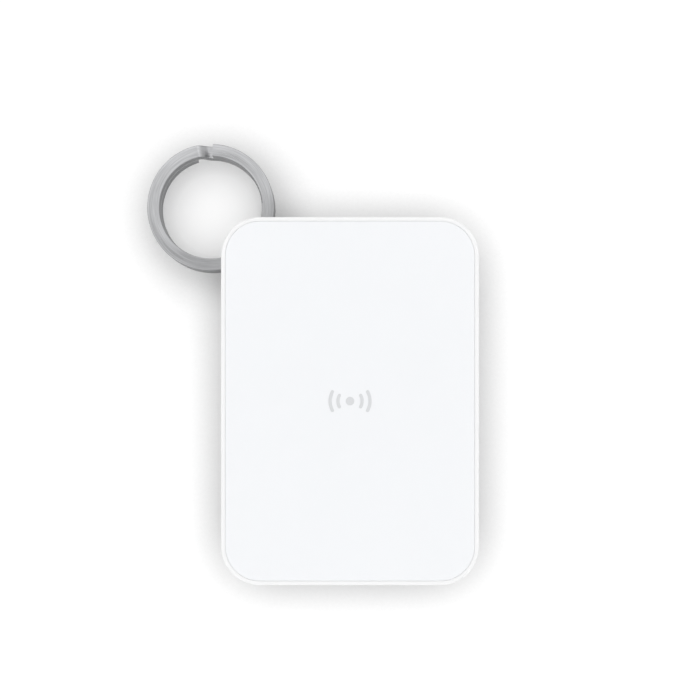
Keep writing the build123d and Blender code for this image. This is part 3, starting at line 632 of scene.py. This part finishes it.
def build_chip_pads(material):
    """Soldered pads that stand out from under the radio chip, in a row along each side."""
    low, high = [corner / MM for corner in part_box("bluetooth_chip")]
    middle = (low + high) / 2
    maker = bmesh.new()
    for axis in (0, 1):
        for side in (-1, 1):
            face = (low if side < 0 else high)[axis]
            for i in range(PAD_COUNT):
                along = middle[1 - axis] + (i - (PAD_COUNT - 1) / 2) * PAD_PITCH
                near, far = sorted((face, face + side * PAD_REACH))
                pad_low, pad_high = [0, 0, board_top], [0, 0, board_top + PAD_THICK]
                pad_low[axis], pad_high[axis] = near, far
                pad_low[1 - axis], pad_high[1 - axis] = along - PAD_HALF, along + PAD_HALF
                block(maker, pad_low, pad_high, bevel=0.02)
    finish_piece("chip_pads", maker, material, "case")


# Copper tracks on the board, each a width and a route of corners in mm.
TRACKS = (
    (0.16, ((-3.2, 11.3), (-2.7, 11.8), (-2.7, 12.3))),
    (0.16, ((-3.2, 10.8), (-1.4, 10.8), (0.4, 12.6))),
    (0.16, ((-8.8, 10.7), (-9.6, 10.7))),
    (0.16, ((-8.8, 11.2), (-9.5, 11.6))),
    (0.3, ((-5.2, 12.8), (-5.2, 13.8))),
    (0.35, ((-5.8, 14.6), (-5.8, 17.2), (-2.0, 21.0), (3.4, 21.0), (4.2, 20.9))),
    (0.35, ((4.5, 20.9), (5.6, 22.0), (5.6, 23.0))),
    (0.16, ((-4.3, 7.2), (-4.3, 6.6), (-3.7, 6.0), (-3.4, 4.4))),
    (0.16, ((-3.2, 8.3), (-1.2, 8.3))),
    (0.16, ((-3.2, 9.3), (0.6, 9.3), (1.6, 8.4), (2.1, 8.4))),
    (0.4, ((4.9, 8.0), (5.8, 7.4), (6.8, 7.0))),
    (0.4, ((10.1, 6.2), (11.0, 7.0), (11.4, 7.5))),
    (0.3, ((13.4, -3.9), (14.6, -5.2), (14.6, -9.0))),
    (0.16, ((-7.8, 7.2), (-7.8, 4.6), (-6.6, 3.4), (-4.2, 2.6), (-2.2, 1.0))),
)
TEST_PADS = ((-10.4, 4.2), (-12.6, 4.2), (-10.4, 6.4), (-12.6, 6.4))
PLATED_HOLES = ((14.6, -9.0), (-14.0, 0.0), (13.8, 12.2))
TRACK_THICK = 0.035
SUNK = 0.01  # how far tracks and pads reach into the board
# Sections from the middle outwards, each point a radius and a height over the board.
TEST_PAD_SECTION = ((0.02, -SUNK), (0.5, -SUNK), (0.5, 0.03), (0.46, 0.045), (0.02, 0.045))
PLATED_HOLE_SECTION = ((0.14, -SUNK), (0.3, -SUNK), (0.3, 0.04), (0.17, 0.05))


def build_tracks(material):
    """Raised copper tracks under the board's green mask, with mitred corners."""
    maker = bmesh.new()
    top, foot = board_top + TRACK_THICK, board_top - SUNK
    for width, route in TRACKS:
        points = [Vector(point) for point in route]
        ways = [(b - a).normalized() for a, b in zip(points, points[1:])]
        rows = []
        for i, point in enumerate(points):
            before, after = ways[max(i - 1, 0)], ways[min(i, len(ways) - 1)]
            across = Vector((-before.y - after.y, before.x + after.x)).normalized()
            reach = width / 2 / max(0.5, across.dot(Vector((-after.y, after.x))))
            sides = [point + across * reach, point - across * reach]
            rows.append([maker.verts.new((*side, level)) for level in (top, foot) for side in sides])
        for a, b in zip(rows, rows[1:]):
            for i, j in ((0, 1), (1, 3), (3, 2), (2, 0)):
                maker.faces.new((a[i], a[j], b[j], b[i]))
        for row in (rows[0], rows[-1]):
            maker.faces.new((row[0], row[1], row[3], row[2]))
    finish_piece("board_tracks", maker, material, "case", smooth=False)


def build_pads(material):
    """Gold-plated round test pads and a plated hole at the end of each long track."""
    maker = bmesh.new()
    flat = [(radius, board_top + height) for radius, height in TEST_PAD_SECTION]
    for centre in TEST_PADS:
        sweep_section(maker, circle_path(centre, 0, 32), flat)
    hole = [(radius, board_top + height) for radius, height in PLATED_HOLE_SECTION]
    ends = [route[-1] for _, route in TRACKS if len(route) > 4]
    for centre in (*ends, *PLATED_HOLES):
        sweep_section(maker, circle_path(centre, 0, 24), hole)
    finish_piece("board_pads", maker, material, "case")


PLUS_ARM = 2.2
PLUS_HALF = 0.3
PLUS_PROUD = 0.02
PLUS_SUNK = 0.01


def build_plus():
    """Plus sign stamped on the face of the cell that shows when the door is off."""
    low, high = [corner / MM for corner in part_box("battery_cell")]
    middle = (low + high) / 2
    maker = bmesh.new()
    tips = ((PLUS_ARM, PLUS_HALF), (PLUS_HALF, PLUS_HALF), (PLUS_HALF, PLUS_ARM))
    outline = []
    for turn, (x, y) in enumerate(((1, 1), (-1, 1), (-1, -1), (1, -1))):
        quarter = tips if turn % 2 == 0 else tips[::-1]
        outline += [(x * tip_x, y * tip_y) for tip_x, tip_y in quarter]
    foot = low.z - PLUS_PROUD
    verts = [maker.verts.new((middle.x + x, middle.y + y, foot)) for x, y in outline]
    face = maker.faces.new(verts)
    made = bmesh.ops.extrude_face_region(maker, geom=[face])
    for vertex in [part for part in made["geom"] if isinstance(part, bmesh.types.BMVert)]:
        vertex.co.z = low.z + PLUS_SUNK
    material = nodes["battery_cell"].data.materials[0]
    finish_piece("cell_plus", maker, material, "case", smooth=False)


def build_pieces():
    """All pieces that the CAD leaves out or keeps plain."""
    build_gasket()
    build_sounder_foam()
    build_dome()
    tin = sheet_metal("solder_tin", (0.74, 0.74, 0.73), 0.32, along=(1, 1, 1))
    gold = sheet_metal("pad_gold", (0.85, 0.66, 0.3), 0.3, along=(1, 1, 1))
    build_terminals("capacitor_terminals", "capacitors", tin)
    build_terminals("resistor_terminals", "resistors", tin)
    build_terminals("led_terminals", "status_led", tin)
    build_terminals("antenna_terminals", "chip_antenna", tin)
    build_chip_pads(tin)
    build_tracks(solder_mask("track_mask", (0.02, 0.17, 0.075)))
    build_pads(gold)
    build_plus()


# ---- Studio -----------------------------------------------------------------------------------------
CAMERA_HEIGHT = 105 * MM
VIEW_ANGLE = math.radians(57.3)
FRAME_SHIFT = 0.073  # the object sits a little below the middle of the picture


def build_camera():
    """Camera straight above the tag, with the case's long way up the picture."""
    data = bpy.data.cameras.new("camera")
    data.sensor_width = 36
    data.angle = VIEW_ANGLE
    data.shift_y = FRAME_SHIFT
    data.clip_start = 1 * MM
    camera = bpy.data.objects.new("camera", data)
    middle = (case_low + case_high) / 2
    camera.location = (middle.x, middle.y, CAMERA_HEIGHT)
    bpy.context.scene.collection.objects.link(camera)
    bpy.context.scene.camera = camera


TABLE_Z = -0.03 * MM  # just under the tag's back, so that the two faces don't flicker
TABLE_REACH = 2.5
CONTACT_REACH = 7 * MM  # how far the soft contact shadow spreads over the table
CONTACT_SHADOW_TONE = 0.4  # how light the painted contact shadow leaves the table where ambient occlusion is total
EYE_SHADOW_TONE = 1.0  # the painted shadow's tone inside the key ring's eye, which the thin wire shades less; at 1.0 none is painted there
# Painted light: the table's colour is made lighter inside the key ring's eye.
EYE_LIGHT_COLOUR = (0.98, 0.98, 0.98)
EYE_EDGE = (6.5, 9.0)  # radii in mm between which the two tones meet


def build_floor():
    """A white table that reaches well past the picture, with a painted contact shadow round the tag and
    painted light inside the key ring's eye.
    """
    mesh = bpy.data.meshes.new("floor")
    corners = [(x * TABLE_REACH, y * TABLE_REACH, TABLE_Z) for x, y in ((-1, -1), (1, -1), (1, 1), (-1, 1))]
    mesh.from_pydata(corners, [], [(0, 1, 2, 3)])
    floor = bpy.data.objects.new("floor", mesh)
    bpy.context.scene.collection.objects.link(floor)
    looks = Looks("floor_paper")
    grain = looks.noise(looks.mm, 2.0, detail=4)
    tone = looks.mix(looks.span(grain, 0.3, 0.7), (0.9, 0.9, 0.9), (0.92, 0.92, 0.92))
    contact = looks.add("ShaderNodeAmbientOcclusion", samples=16)
    contact.inputs["Distance"].default_value = CONTACT_REACH
    eye = (ring_centre.x / MM, ring_centre.y / MM, 0)
    from_eye = looks.math_vector("LENGTH", looks.math_vector("SUBTRACT", looks.mm, eye))
    # Painted light: a lighter table inside the key ring's eye, a fixed disc that stays put when the ring
    # swings.
    tone = looks.mix(looks.span(from_eye, *EYE_EDGE, 1, 0), tone, EYE_LIGHT_COLOUR)
    # Painted shadow: the table's colour is darkened where ambient occlusion finds the tag near, less so
    # inside the eye.
    shadow_floor_tone = looks.span(from_eye, *EYE_EDGE, EYE_SHADOW_TONE, CONTACT_SHADOW_TONE)
    unshadowed_share = looks.span(contact.outputs["AO"], 0, 1, shadow_floor_tone, 1)
    looks.set(Base_Color=looks.mix(unshadowed_share, (0, 0, 0), tone), Roughness=0.9, Specular_IOR_Level=0.1)
    mesh.materials.append(looks.material)


# Brightness of the dome by the sine of the elevation: it is dimmer at the horizon, where a white room
# would have walls, and straight above, where a camera would hang.
DOME_STEPS = ((0.0, 0.6), (0.5, 1.38), (0.84, 1.38), (0.975, 0.6))


def build_light():
    """An even white dome, dimmer at the horizon and straight above."""
    world = bpy.data.worlds.new("studio")
    bpy.context.scene.world = world
    world.use_nodes = True
    tree = world.node_tree
    direction = tree.nodes.new("ShaderNodeTexCoord").outputs["Generated"]
    parts = tree.nodes.new("ShaderNodeSeparateXYZ")
    tree.links.new(direction, parts.inputs[0])
    light = None
    for (low, before), (high, after) in zip(DOME_STEPS, DOME_STEPS[1:]):
        step = tree.nodes.new("ShaderNodeMapRange")
        step.interpolation_type = "SMOOTHSTEP"
        tree.links.new(parts.outputs[2], step.inputs[0])
        start = 0.0 if light else before
        for socket, value in zip(list(step.inputs)[1:5], (low, high, start, start + after - before)):
            socket.default_value = value
        if light:
            total = tree.nodes.new("ShaderNodeMath")
            tree.links.new(light, total.inputs[0])
            tree.links.new(step.outputs[0], total.inputs[1])
            light = total.outputs[0]
        else:
            light = step.outputs[0]
    background = tree.nodes["Background"]
    background.inputs["Color"].default_value = (1, 1, 1, 1)
    tree.links.new(light, background.inputs["Strength"])


build_camera()
build_floor()
build_light()
bpy.context.scene.view_settings.view_transform = "Standard"
dress_all()
build_pieces()
